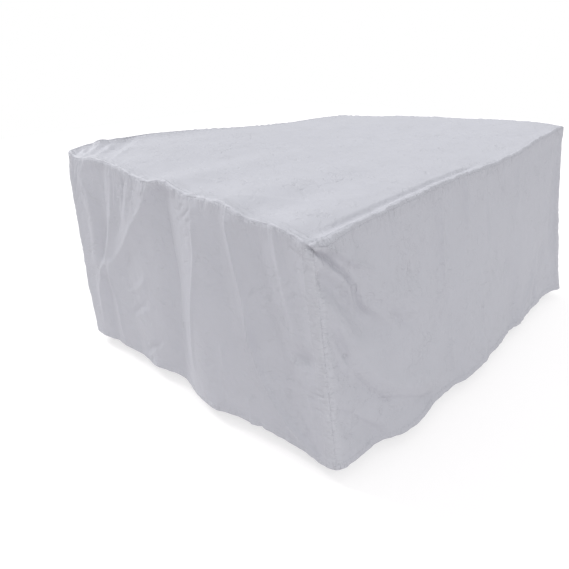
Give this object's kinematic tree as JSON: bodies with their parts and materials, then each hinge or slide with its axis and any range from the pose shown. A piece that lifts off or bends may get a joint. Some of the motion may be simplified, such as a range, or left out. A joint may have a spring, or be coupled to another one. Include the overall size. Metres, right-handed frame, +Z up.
{
  "type": "patio furniture cover",
  "caption": "Fitted box-shaped cover of silver-grey coated cloth for a patio table and chairs, with sewn top and side panels and loose hanging folds.",
  "frame": {"origin": "the point under the middle of the top panel where the cover rests on what it covers", "axes": "+X along the long side, +Y along the short side away from the long wall in view, +Z up"},
  "size_m": [1.8035, 1.4548, 0.8004],
  "materials": {
    "coated_cloth": "matte silver-grey coated woven polyester"
  },
  "bodies": {
    "root": {"top_panel": "coated_cloth", "front_wall": "coated_cloth", "right_wall": "coated_cloth", "back_wall": "coated_cloth", "left_wall": "coated_cloth"}
  },
  "joints": []
}
